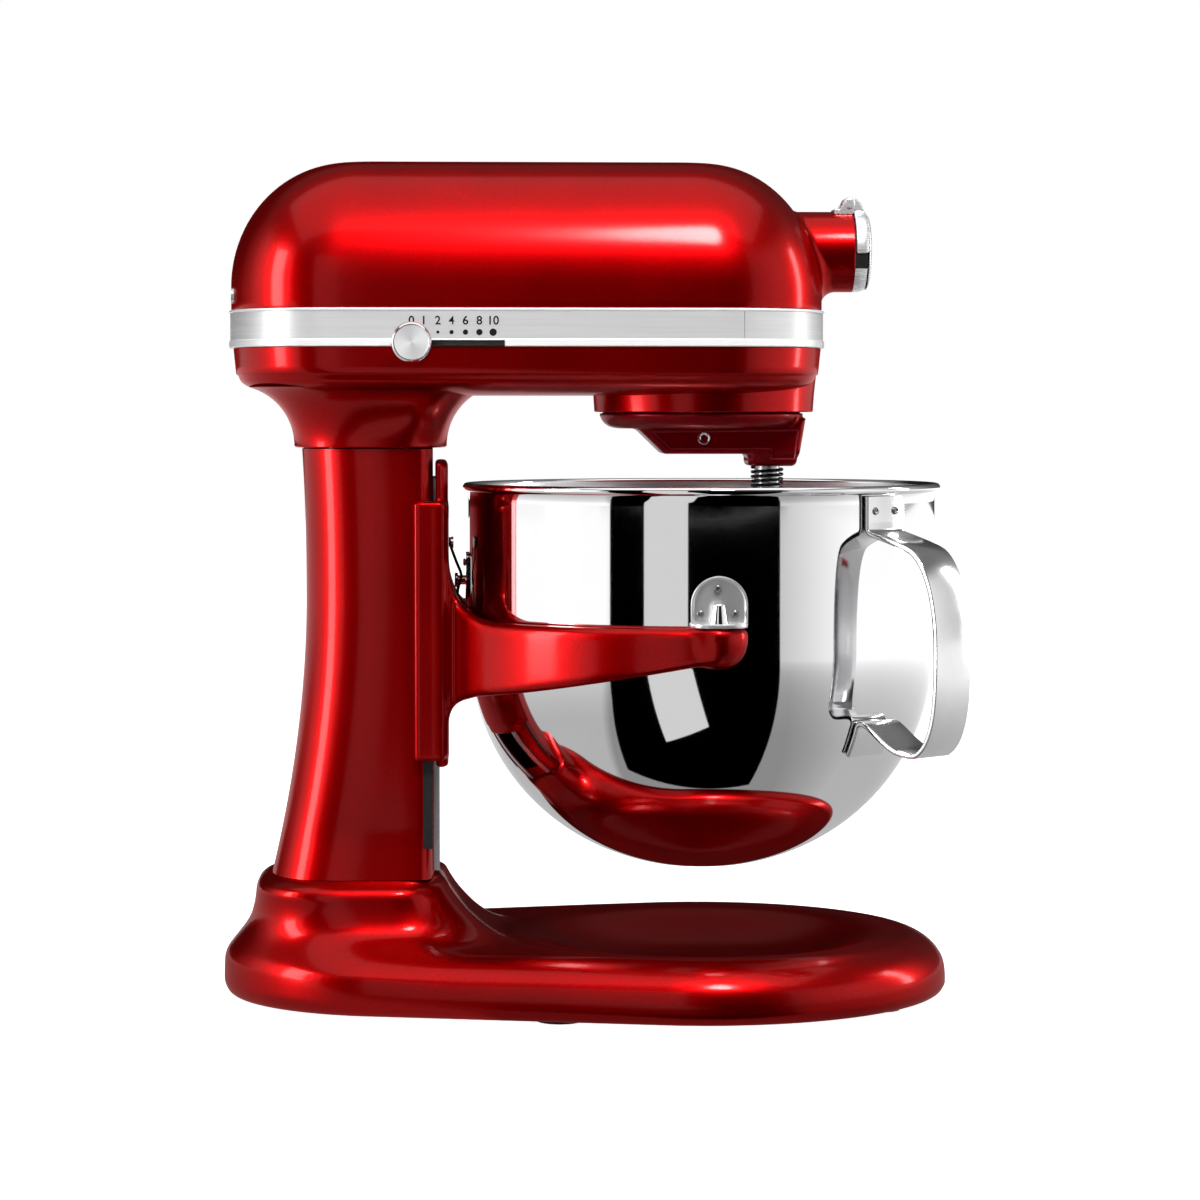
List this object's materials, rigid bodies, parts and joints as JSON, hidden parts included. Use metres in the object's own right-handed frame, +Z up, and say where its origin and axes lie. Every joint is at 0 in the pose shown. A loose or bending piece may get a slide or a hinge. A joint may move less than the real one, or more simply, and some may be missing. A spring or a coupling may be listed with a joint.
{
  "type": "stand mixer",
  "caption": "Bowl-lift stand mixer: motor head on a column, planetary drive, hinged attachment hub cover, lever-lifted steel bowl with a strap handle.",
  "frame": {"origin": "on the ground under the middle of the base", "axes": "+X towards the attachment hub, +Y to the side of the bowl-lift lever, +Z up"},
  "size_m": [0.3666, 0.2708, 0.4187],
  "materials": {
    "candy_red": "glossy candy clear coat",
    "planetary_red": "glossy",
    "rubber": "matt",
    "black_plastic": "satin",
    "black_wire": "blackened",
    "machined_steel": "machined",
    "brushed_band": "brushed along its length",
    "polished_trim": "polished",
    "brushed_knob": "brushed face",
    "polished_bowl": "mirror polished",
    "cast_aluminium": "as cast",
    "motor_iron": "laminated",
    "brass": "machined",
    "circuit_board": "satin"
  },
  "bodies": {
    "stand": {"base_casting": "candy_red", "rubber_feet": "rubber", "column_bolts": "machined_steel", "column_casting": "candy_red", "cord_bush": "black_plastic", "slot_liners": "black_plastic", "guide_rails": "machined_steel", "lever_bush": "brass", "head_lower": "candy_red", "head_screws": "machined_steel", "gearcase_skirt": "candy_red", "ring_gear": "machined_steel", "centre_bearing": "machined_steel", "trim_band": "brushed_band", "band_strips": "polished_trim", "band_front": "brushed_band", "head_cover": "candy_red", "cover_screws": "machined_steel", "hub_rim": "polished_trim", "hub_ring": "black_plastic", "hinge_bracket": "polished_trim", "motor_stator": "motor_iron", "motor_cradle": "cast_aluminium", "bearing_brackets": "cast_aluminium", "ball_bearings": "machined_steel", "brush_posts": "black_plastic", "control_board": "circuit_board", "board_parts": "black_plastic", "slide_track": "cast_aluminium", "hub_bearing": "machined_steel"},
    "armature": {"armature": "machined_steel", "motor_fan": "black_plastic"},
    "wheel": {"worm_wheel": "brass", "wheel_bevel": "machined_steel"},
    "planetary": {"centre_shaft": "machined_steel", "planetary_housing": "planetary_red", "set_screw": "machined_steel"},
    "agitator": {"agitator_shaft": "machined_steel", "agitator_pinion": "machined_steel", "agitator_spring": "black_wire"},
    "hub_drive": {"hub_drive": "machined_steel"},
    "hub_cover": {"hub_cover": "polished_trim"},
    "hub_screw": {"hub_thumb_screw": "black_plastic"},
    "speed_lever": {"speed_knob": "brushed_knob", "speed_slider": "black_plastic"},
    "bowl_lift": {"bowl_support": "candy_red", "locating_pins": "polished_bowl", "lift_bracket": "machined_steel", "spring_latch": "black_wire", "latch_screw": "machined_steel"},
    "lift_lever": {"lift_shaft": "machined_steel", "lift_lever": "polished_trim", "lever_knob": "black_plastic"},
    "bowl": {"bowl": "polished_bowl", "bowl_handle": "polished_bowl", "side_brackets": "polished_bowl", "rear_bracket": "polished_bowl", "bowl_rivets": "polished_bowl"}
  },
  "joints": [
    {"name": "planetary_spin", "type": "hinge", "parent": "stand", "child": "planetary", "pos_m": [0.0583, 0, 0.29], "axis": [0, 0, 1], "continuous": true},
    {"name": "agitator_spin", "type": "hinge", "parent": "planetary", "child": "agitator", "pos_m": [0.0918, 0, 0.28], "axis": [0, 0, 1], "continuous": true},
    {"name": "wheel_spin", "type": "hinge", "parent": "stand", "child": "wheel", "pos_m": [0.0583, -0.028, 0.3753], "axis": [0, 1, 0], "continuous": true},
    {"name": "armature_spin", "type": "hinge", "parent": "stand", "child": "armature", "pos_m": [-0.08, -0.028, 0.3425], "axis": [1, 0, 0], "continuous": true},
    {"name": "hub_drive_spin", "type": "hinge", "parent": "stand", "child": "hub_drive", "pos_m": [0.1, 0, 0.3753], "axis": [1, 0, 0], "continuous": true},
    {"name": "hub_cover_hinge", "type": "hinge", "parent": "stand", "child": "hub_cover", "pos_m": [0.1324, 0, 0.3994], "axis": [0, -1, 0], "range_deg": [0, 110]},
    {"name": "hub_screw_turn", "type": "hinge", "parent": "stand", "child": "hub_screw", "pos_m": [0.125, 0.028, 0.3753], "axis": [0, 1, 0], "continuous": true},
    {"name": "speed_slide", "type": "slide", "parent": "stand", "child": "speed_lever", "axis": [1, 0, 0], "range_m": [0, 0.039]},
    {"name": "bowl_lift_slide", "type": "slide", "parent": "stand", "child": "bowl_lift", "axis": [0, 0, 1], "range_m": [-0.038, 0]},
    {"name": "lift_lever_turn", "type": "hinge", "parent": "stand", "child": "lift_lever", "pos_m": [-0.098, 0.05, 0.2], "axis": [0, 1, 0], "range_deg": [-100, 0]},
    {"name": "bowl_lift_off", "type": "slide", "parent": "bowl_lift", "child": "bowl", "axis": [0, 0, 1], "range_m": [0, 0.02]}
  ],
  "couplings": [
    {"joint": "agitator_spin", "follows": "planetary_spin", "ratio": -3.6667},
    {"joint": "wheel_spin", "follows": "planetary_spin", "ratio": -2},
    {"joint": "armature_spin", "follows": "planetary_spin", "ratio": -40},
    {"joint": "hub_drive_spin", "follows": "planetary_spin", "ratio": 2},
    {"joint": "lift_lever_turn", "follows": "bowl_lift_slide", "rad_per_m": 45.93}
  ]
}
